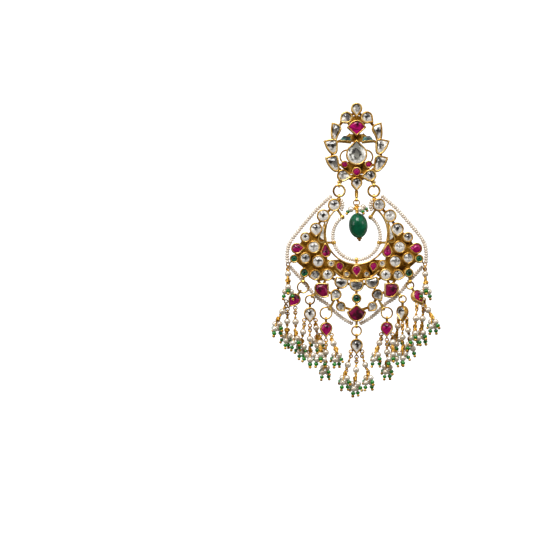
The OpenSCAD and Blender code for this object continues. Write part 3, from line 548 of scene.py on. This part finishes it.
bench, given, end = repeat_tree("strung pearls", ("Pitch", "Pearl", "Thickness"))
path = bench.add("GeometryNodeMeshToCurve", {}, {"Mesh": given["Geometry"]})
dots = bench.add("GeometryNodeCurveToPoints", {"mode": "LENGTH"}, {"Curve": path, "Length": given["Pitch"]})
with_line = Tint(bench, dots.socket.node.outputs["Rotation"])
tilt = bench.add("FunctionNodeRandomValue", {"data_type": "FLOAT_VECTOR"},
                 {"Min": (-0.16, -0.16, 0.0), "Max": (0.16, 0.16, 3.0), "Seed": 9})
tilted = bench.add("FunctionNodeRotateRotation", {"rotation_space": "LOCAL"}, {0: with_line, 1: tilt})
size = bench.add("FunctionNodeRandomValue", {"data_type": "FLOAT_VECTOR"},
                 {"Min": (0.9, 0.9, 0.94), "Max": (1.06, 1.06, 1.06), "Seed": 5})
button = bead_shape(bench, given["Pearl"], given["Thickness"], 14, 8)
pearls = bench.add("GeometryNodeInstanceOnPoints", {},
                   {"Points": dots, "Instance": button, "Rotation": tilted, "Scale": size})
finished(bench, pearls, given, end)
strung_pearls = bench.tree


def pearl_finish(name, stops, mirror):
    """Nacre: a cream that clouds softly, under a fine skin; mirror is how much of a metal it is."""
    material, bench, shader = finish(name, Metallic=mirror, Roughness=0.22, Coat_Weight=0.8,
                                     Coat_Roughness=0.08, Specular_IOR_Level=0.6)
    place = bench.place()
    cloud = bench.noise(place, 380)
    skin = bench.noise(place, 5200)
    bench.feed(shader.inputs["Base Color"], bench.ramp(cloud * 0.8 + skin * 0.2, stops))
    bench.emboss(shader, skin, 0.03, 0.4)
    return material


seed_pearl = pearl_finish("seed pearl", [
    (0.3, (0.58, 0.46, 0.34)),
    (0.5, (0.78, 0.68, 0.56)),
    (0.75, (0.9, 0.84, 0.75)),
], 0.2)

# Millimetres to a unit of the crescent's plan, whose zero is the middle of the opening, and the depth
# of the plane that everything hangs in
plan = 49.4 / 130
opening_z = -13.4276 - 18.2
hang_y = -1.1


def on_crescent(line, y):
    """Points of the plan as points of the frame, at a depth in millimetres."""
    return [Vector((x * plan * MM, y * MM, (opening_z + z * plan) * MM)) for x, z in line]


def catmull(a, b, c, d, u):
    """The point at a share of the way from b to c, on a smooth curve through all four."""
    return 0.5 * (2 * b + (c - a) * u + (2 * a - 5 * b + 4 * c - d) * u * u
                  + (3 * b - a - 3 * c + d) * u ** 3)


def through(route, y):
    """A smooth line on the crescent's plan through the points of a route."""
    points = [Vector(p) for p in route]
    last = len(points) - 1
    steps = 8
    line = [catmull(points[max(i - 1, 0)], points[i], points[i + 1], points[min(i + 2, last)], k / steps)
            for i in range(last) for k in range(steps)]
    return on_crescent([*line, points[last]], y)


def arc(x, z, radius, start, end, y=hang_y, steps=60):
    """An arc on the crescent's plan, from one angle to another in degrees."""
    angles = [math.radians(start + (end - start) * k / steps) for k in range(steps + 1)]
    return on_crescent([(x + radius * math.cos(a), z + radius * math.sin(a)) for a in angles], y)


def strung(name, lines, pitch, pearl, thickness, node):
    """Strings seed pearls along lines in place of a node; sizes are in millimetres."""
    points, edges = lines_of(lines)
    laid_out(name, strung_pearls, points, edges, "crescent", seed_pearl,
             {"Pitch": pitch * MM, "Pearl": pearl * MM, "Thickness": thickness * MM}, replaced=(node,))


outer_left = [(-25.9, 36.9), (-40, 23.5), (-52, 9.6), (-61.5, -2), (-66.6, -9.6), (-69.2, -18),
              (-69.2, -28.4)]
outer_right = [(25.9, 36.9), (40, 24.5), (52, 11), (62.5, -1.6), (67.6, -9.6), (69.6, -18),
               (69.6, -28.4)]
lower_right = [(66, -34), (60, -40.6), (53.6, -47.4), (46, -57), (38.4, -65), (29.6, -70.6),
               (22, -78.2), (14, -85), (4.6, -90.4)]
lower_left = [(-x, z) for x, z in lower_right]
lower_y = 0.725
string_z, string_radius = -3, 23.7
strings_laid = [
    arc(0, string_z, string_radius, 130, 410),
    arc(22.3, 28.1, 8.6, 148, 212),
    arc(-22.3, 28.1, 8.6, 32, -32),
]
strung("inner_pearls", strings_laid, 0.87, 1.62, 0.99, "inner_strand")
for name, line, node in (
    ("outer_pearls_left", through(outer_left, hang_y), "outer_strand_left"),
    ("outer_pearls_right", through(outer_right, hang_y), "outer_strand_right"),
    ("lower_pearls_left", through(lower_left, lower_y), "lower_strand_left"),
    ("lower_pearls_right", through(lower_right, lower_y), "lower_strand_right"),
):
    strung(name, [line], 0.94, 1.72, 1.05, node)
    strings_laid.append(line)
silk = finish("beige silk", Base_Color=(0.66, 0.54, 0.4), Roughness=0.8)[0]
wirework("thread", strings_laid, "crescent", silk, 0.24, 0.1)


# Round wire is soldered along the edges of the opening and of the band below it, and thin wire curls
# over the band between its rubies.
opening_edge = arc(0, 0, 31.2, 134, 406, -2.12, 120)
band_edge = arc(0, -16.8, 30.4, 222, 318, -1.72)
curl = ((4.2, -33.6), (6.2, -32.3), (9.4, -33), (11.9, -36.6))
curls = [through([(side * x, z) for x, z in curl], -0.86) for side in (1, -1)]
wirework("edge_wires", [opening_edge, band_edge], "crescent", bezel_gold, 0.3, 0.06)
wirework("band_curls", curls, "crescent", bezel_gold, 0.17, 0.06)


# A tassel string hangs from each loop of a pendant and from each end of the crescent: a link, a wire with
# one pearl on it, and a coil that holds a bunch of four pins, each with a pearl, a glass bead and a ball.
def turn(degrees):
    """Cosine and sine of an angle."""
    return math.cos(math.radians(degrees)), math.sin(math.radians(degrees))


def hung(x, z, out=0.0):
    """A place in millimetres, so far out from the hanging plane, as a point of the frame."""
    return Vector((x, hang_y - out, z)) * MM


def spoke(a, b, k, steps):
    """The way out from a hub at one of so many steps round, on the plane of two ways."""
    angle = k * math.tau / steps
    return a * math.cos(angle) + b * math.sin(angle)


def ring(centre, a, b, radius, steps=14):
    """A closed ring of wire on the plane of two ways; its radius is in millimetres."""
    line = [centre + spoke(a, b, k, steps) * (radius * MM) for k in range(steps)]
    return line + line[:1]


def coil(start, end, radius, turns):
    """A wire wound round the line from one point to another; its radius is in millimetres."""
    steps = 9
    way = (end - start).normalized()
    a = way.orthogonal().normalized()
    b = way.cross(a)
    count = int(turns * steps)
    return [start.lerp(end, k / count) + spoke(a, b, k, steps) * (radius * MM) for k in range(count + 1)]


def string_way(lean, forward):
    """The way down along a string that leans across and forward by so many degrees."""
    return Vector((math.tan(math.radians(lean)), -math.tan(math.radians(forward)), -1)).normalized()


pendant_width, pendant_length = 4.7, 6
pendant_middle = -4.15
pendant_wire = 0.6
# Lugs of one half and the middle. Columns: across and up on the plan, lean of the pendant's ring
lugs = ((53.5, -48.5, 0), (44, -63, 35), (26.8, -75.6, 40), (0, -93, 0))
# Pendants, left to right. Columns: side, lug, diameter of the ring, lean across, turn about its length
pendants = (
    (-1, 0, 4.8, -35, 0),
    (-1, 1, 4, 0, 0),
    (-1, 2, 5, 0, 8),
    (1, 3, 4.2, 0, 0),
    (1, 2, 4.8, 0, -10),
    (1, 1, 3.3, 0, -48),
    (1, 0, 3.4, 32, 34),
)
# A pendant's loops, in shares of its width and length from its middle
loops = ((-0.46, -0.32), (0, -0.66), (0.46, -0.32))
# Strings. Columns: pendant, its loop, lean across, lean forward, length to the pearl and length to the
# bunch in shares of a pendant's length, turn of the bunch
strings = (
    (0, 0, -30, 10, 0.7, 1.36, 45), (0, 1, -2, -13, 0.78, 1.52, 20), (0, 2, 1, 10, 0.88, 1.7, 60),
    (1, 0, -8, -18, 0.76, 1.56, 30), (1, 1, 0, 4, 0.84, 1.64, 0), (1, 2, 8, -26, 0.5, 1.24, 0),
    (2, 0, 0, 20, 0.5, 1.06, 90), (2, 1, -2, -12, 0.78, 1.56, 50), (2, 2, 22, 8, 0.56, 1.12, 35),
    (3, 0, -18, 4, 0.86, 1.5, 45), (3, 1, -3, -5, 0.82, 1.5, 35), (3, 2, 18, 5, 0.86, 1.5, 50),
    (4, 0, -22, 8, 0.56, 1.12, 55), (4, 1, 2, -12, 0.78, 1.56, 40), (4, 2, 0, 20, 0.5, 1.06, 90),
    (5, 0, -6, -26, 0.5, 1.24, 0), (5, 1, 0, 2, 0.84, 1.64, 0), (5, 2, 12, -20, 0.76, 1.5, 120),
    (6, 0, -6, 10, 0.88, 1.6, 90), (6, 1, -4, -12, 0.78, 1.48, 60), (6, 2, 30, 14, 0.74, 1.36, 45),
)
end_string = (0, 18, 0.6, 1.24, 90)
# The pins of a bunch. Columns: turn, splay, length to the pearl in shares of its diameter
bunch = ((0, 44, 0.82), (180, 44, 0.82), (90, 22, 1.52), (270, 22, 1.52))
bunch_pearl = 2.2
starts = []
for pendant, loop, *shape in strings:
    side, lug, ring_diameter, lean, yaw = pendants[pendant]
    across, height, tilt = lugs[lug]
    r = (ring_diameter - pendant_wire) / 2
    (tilt_cos, tilt_sin), (lean_cos, lean_sin), (yaw_cos, yaw_sin) = turn(tilt), turn(lean), turn(yaw)
    x = loops[loop][0] * pendant_width
    z = loops[loop][1] * pendant_length + pendant_middle
    place = hung(
        side * across * plan + r * (side * tilt_sin + lean_sin) + x * yaw_cos * lean_cos - z * lean_sin,
        opening_z + height * plan - r * (tilt_cos + lean_cos) + x * yaw_cos * lean_sin + z * lean_cos,
        -x * yaw_sin)
    starts.append((place, yaw, lean, shape))
# The rings at the crescent's two ends, on the plan
end_x, end_z = 68.5, -31.5
for side in (-1, 1):
    starts.append((hung(side * end_x * plan, opening_z + end_z * plan), 0, 0, end_string))

link_drop = 0.82
link_foot = 1.44
loop_radius, eye_radius, hook_radius = 0.68, 0.64, 0.55
up = Vector((0, 0, 1))
whim = random.Random(3)
wires, string_pearls, bunch_pearls, glass_beads, end_balls = [], [], [], [], []
for place, yaw, leaning, (lean, forward, pearl_at, foot_at, spread) in starts:
    (yaw_cos, yaw_sin), (lean_cos, lean_sin) = turn(yaw), turn(leaning)
    way = string_way(lean, forward)
    top = place - up * link_foot * MM
    pearl = top + way * (pearl_at * pendant_length - link_foot) * MM
    foot = top + way * (foot_at * pendant_length - link_foot) * MM
    width_way = Vector((yaw_cos * lean_cos, yaw_sin, yaw_cos * lean_sin))
    length_way = Vector((-lean_sin, 0, lean_cos))
    wires += [
        ring(place, width_way, length_way, loop_radius),
        ring(place - up * link_drop * MM, Vector((-yaw_sin, yaw_cos, 0)), up, loop_radius),
        ring(top - up * 0.24 * MM, Vector((yaw_cos, yaw_sin, 0)), up, eye_radius),
        [top - up * 0.2 * MM + way * 0.6 * MM, foot],
    ]
    # The coils at the eye, over and under the pearl, and at the foot. Columns: where, start and end
    # along the string, radius, turns
    for at, start, stop, radius, turns in (
        (top, 0.45, 1.1, 0.34, 2),
        (pearl, -1.8, -1.3, 0.36, 1.5),
        (pearl, 1.25, 1.9, 0.4, 2),
        (foot, -1.3, 0.2, 0.46, 5),
    ):
        wires.append(coil(at + way * start * MM, at + way * stop * MM, radius, turns))
    string_pearls.append((pearl, way))
    for turned, splay, length in bunch:
        (turn_cos, turn_sin), (splay_cos, splay_sin) = turn(turned + spread), turn(splay)
        outward = Vector((turn_cos, -turn_sin, 0))
        pin = Vector((splay_sin * turn_cos, -splay_sin * turn_sin, -splay_cos))
        centre = foot + pin * length * bunch_pearl * MM
        hook = foot - way * whim.uniform(-0.2, 1.7) * MM + outward * 0.45 * MM
        across = Vector((whim.uniform(-1, 1), whim.uniform(-1, 1), 0)).normalized()
        wires.append(ring(hook, across, up, hook_radius, 11))
        bent = (pin - up * whim.uniform(0.2, 1)).normalized()
        wires.append([hook - up * 0.45 * MM, centre - pin * 1.3 * MM, centre, centre + bent * 3 * MM])
        bunch_pearls.append((centre, pin))
        glass_beads.append((centre + bent * 1.75 * MM, bent))
        end_balls.append((centre + bent * 2.85 * MM, bent))
copper_gold = gold("copper gold", [
    (0.25, (0.28, 0.12, 0.008)),
    (0.5, (0.64, 0.33, 0.035)),
    (0.75, (0.92, 0.58, 0.14)),
])
wirework("tassel_wirework", wires, "crescent", copper_gold, 0.24, 0.04, sides=6,
         replaced=[node for node in frame["nodes"] if node.startswith("tassel_wires")])

bench, given, end = repeat_tree("threaded beads", ("Diameter", "Length", "Segments", "Unevenness"))
ball = bead_shape(bench, given["Diameter"], given["Length"], given["Segments"], given["Segments"] * 0.6)
hole = bench.add("GeometryNodeInputNamedAttribute", {"data_type": "FLOAT_VECTOR"}, {"Name": "way"})
turned = bench.add("FunctionNodeAlignRotationToVector", {"axis": "Z"}, {"Vector": hole})
size = bench.add("FunctionNodeRandomValue", {}, {"Min": 0.94, "Max": 1.04, "Seed": 3}, 1)
row = bench.add("GeometryNodeInstanceOnPoints", {},
                {"Points": given["Geometry"], "Instance": ball, "Rotation": turned, "Scale": size})
row = bench.add("GeometryNodeRealizeInstances", {}, {0: row})
finished(bench, uneven(bench, row, given["Unevenness"], 500.0), given, end)
threaded_beads = bench.tree


def beads(name, rows, body, material, diameter, length, segments, unevenness, replaced=()):
    """A bead at each place of the rows, its hole along the way beside it; sizes are in millimetres."""
    laid_out(name, threaded_beads, [place for place, _ in rows], [], body, material,
             {"Diameter": diameter * MM, "Length": length * MM, "Segments": segments,
              "Unevenness": unevenness * MM},
             [way for _, way in rows], replaced)


round_pearl = pearl_finish("round pearl", [
    (0.3, (0.54, 0.42, 0.29)),
    (0.5, (0.79, 0.7, 0.57)),
    (0.75, (0.95, 0.9, 0.82)),
], 0.55)
green_glass, bench, shader = finish("green glass", Roughness=0.12, Coat_Weight=0.7, Coat_Roughness=0.04)
swirl = bench.noise(bench.place(), 600)
bench.feed(shader.inputs["Base Color"],
           bench.ramp(swirl, [(0.3, (0.0, 0.1, 0.002)), (0.7, (0.002, 0.28, 0.006))]))
beads("string_pearls", string_pearls, "crescent", round_pearl, 2.5, 2.4, 20, 0.14,
      [node for node in frame["nodes"] if node.startswith("tassel_pearls")])
beads("bunch_pearls", bunch_pearls, "crescent", round_pearl, 2.25, 2.15, 18, 0.14)
beads("glass_beads", glass_beads, "crescent", green_glass, 1.75, 1.4, 12, 0.05)
beads("end_balls", end_balls, "crescent", copper_gold, 1.2, 1.1, 12, 0.05)


# Small cast fittings finish the goldwork: a knob over each clip of the inner string, a boss over and under
# each jump ring, and wire wound round the bail.
clip_ways = [turn(angle) for angle in (53.4, 126.6, -16, 196, 270)]
clips = on_crescent([(string_radius * x, string_radius * z + string_z) for x, z in clip_ways], hang_y)
beads("clip_knobs", [(at, up) for at in clips], "crescent", bezel_gold, 1.8, 1.7, 16, 0.12)
hang_x = 6.6
for body, z in (("stud", -12.3), ("crescent", -18.9)):
    bosses = [(hung(x, z), up) for x in (-hang_x, hang_x)]
    beads("ring_bosses_" + body, bosses, body, bezel_gold, 1.5, 1.6, 16, 0.12)
bail_top, bail_foot = -15.6, -17.9
wirework("bail_wrap", [coil(hung(0, bail_top), hung(0, bail_foot), 0.5, 5)], "stud", bezel_gold, 0.26, 0.05)


# The drop is an oval emerald bead, tumbled smooth and softly clouded. Its pin is wound into a coil above it,
# where three small pearls spring out on their own pins, and ends below in a washer of granules and a ball.
eye = hung(0, -21.193)
drop_way = string_way(5, 0)
side_way = Vector((-drop_way.z, 0, drop_way.x))
back_way = Vector((0, 1, 0))
bead_diameter, bead_length = 7.0, 9.3
bead_centre = eye + drop_way * 7.55 * MM
emerald_bead, bench, shader = finish("emerald bead", Roughness=0.16, Coat_Weight=0.3, Coat_Roughness=0.05,
                                     Specular_IOR_Level=0.2)
place = bench.place()
cloud = bench.noise(place, 170, 3)
veil = bench.noise(place, 650, 4)
bench.feed(shader.inputs["Base Color"], bench.ramp(cloud * 0.7 + veil * 0.3, [
    (0.3, (0.0, 0.028, 0.011)),
    (0.5, (0.0, 0.078, 0.032)),
    (0.72, (0.0, 0.18, 0.075)),
]))
bench.emboss(shader, cloud, 0.3, 0.3)
beads("emerald_drop", [(bead_centre, drop_way)], "drop", emerald_bead,
      bead_diameter, bead_length, 56, 0.12, ("drop_bead",))

coil_top = eye + drop_way * 0.6 * MM
coil_foot = eye + drop_way * 2.75 * MM
pin_foot = eye + drop_way * 13.4 * MM
pins_down = drop_way * 0.86 * MM
pins_from = eye + pins_down
wires = [
    ring(eye, side_way, drop_way, 0.56),
    ring(eye + back_way * 0.3 * MM, side_way, drop_way, 0.56),
    coil(coil_top, coil_foot, 0.5, 7),
    [coil_top, pin_foot],
]
drop_pearls, drop_glass, drop_balls = [], [], []
# The small pearls. Columns: across, forward and down from the eye, in shares of the bead's diameter
for across, forward, down in ((-0.33, 0.05, -0.17), (0.2, 0.27, -0.22), (0.36, -0.12, -0.11)):
    centre = eye + (side_way * across - drop_way * down - back_way * forward) * bead_diameter * MM
    out = (centre - eye - pins_down).normalized()
    bent = (out * 0.6 - up).normalized()
    bend = centre + out * 0.8 * MM
    wires.append(ring(pins_from + out * 0.5 * MM, out, up, 0.6))
    wires.append([pins_from, centre, bend, bend + bent * 2 * MM])
    drop_pearls.append((centre, out))
    drop_glass.append((bend + bent * 0.85 * MM, bent))
    drop_balls.append((bend + bent * 1.7 * MM, bent))
washer = eye + drop_way * 12.45 * MM
granules = [(washer + spoke(side_way, back_way, k, 7) * 0.66 * MM, drop_way) for k in range(7)]
wirework("drop_wirework", wires, "drop", copper_gold, 0.22, 0.04, replaced=("drop_pin",))
beads("drop_small_pearls", drop_pearls, "drop", round_pearl, 2.3, 2.2, 18, 0.12, ("drop_pearls",))
beads("drop_glass_beads", drop_glass, "drop", green_glass, 1.5, 1.2, 12, 0.05)
beads("drop_balls", drop_balls, "drop", copper_gold, 1.1, 1.0, 12, 0.04)
beads("drop_granules", granules, "drop", bezel_gold, 0.85, 0.75, 10, 0.04)
beads("drop_foot_ball", [(washer + drop_way * 0.6 * MM, drop_way)], "drop", bezel_gold,
      1.2, 1.1, 14, 0.04)


# The floor is a white table that sweeps up behind the earring, lit by soft boxes from above and from
# both sides.
table_half, table_z = 1.5, -0.0965
profile = [(-1.2, table_z), (0.25, table_z), (0.4, -0.07), (0.5, 0.0), (0.55, 0.12), (0.57, 1.0)]
table = bpy.data.meshes.new("sweep")
table.from_pydata([(x, y, z) for y, z in profile for x in (-table_half, table_half)], [],
                  [(2 * i, 2 * i + 1, 2 * i + 3, 2 * i + 2) for i in range(len(profile) - 1)])
table.polygons.foreach_set("use_smooth", [True] * len(table.polygons))
sweep = bpy.data.objects.new("sweep", table)
scene.collection.objects.link(sweep)
sweep.visible_diffuse = sweep.visible_glossy = False
white = finish("white table", Base_Color=(0.9, 0.9, 0.9), Roughness=0.4,
               Emission_Color=(1.0, 1.0, 1.0), Emission_Strength=0.55)[0]
table.materials.append(white)

# What the gold mirrors is a dim warm room with light above, at the sides and behind; the camera sees
# white, and everything else is lit by an even grey.
world = bpy.data.worlds.new("studio")
scene.world = world
world.use_nodes = True
bench = Bench(world.node_tree)
way = bench.place("Generated")
aside = bench.maths("ABSOLUTE", bench.part(way, "X"))
deep = bench.part(way, "Y")
behind = bench.smooth(deep, 0.2, 0.6) - bench.smooth(deep, 0.78, 0.95) * 0.5
lit = bench.smooth(bench.part(way, "Z") + aside * 0.5 + behind * 0.6, 0.3, 0.8)
room = bench.blend(lit, (0.14, 0.115, 0.085), (0.78, 0.78, 0.78))
seen = bench.add("ShaderNodeLightPath", out="Is Camera Ray")
mirrored = bench.add("ShaderNodeLightPath", out="Is Glossy Ray")
around = bench.blend(mirrored, (0.5, 0.5, 0.5), room)
background = world.node_tree.nodes["Background"]
bench.feed(background.inputs["Color"], bench.blend(seen, around, (1.0, 1.0, 1.0)))

for name, at, size, power in (
    ("top box", (-0.12, -0.4, 0.45), 0.3, 3.4),
    ("left box", (-0.6, -0.3, 0.1), 0.25, 0.7),
    ("right box", (0.6, -0.4, 0.2), 0.25, 0.6),
):
    light = bpy.data.objects.new(name, bpy.data.lights.new(name, "AREA"))
    light.data.size, light.data.energy = size, power
    light.location = at
    light.rotation_euler = (Vector((0, 0, -0.04)) - Vector(at)).to_track_quat("-Z", "Y").to_euler()
    scene.collection.objects.link(light)
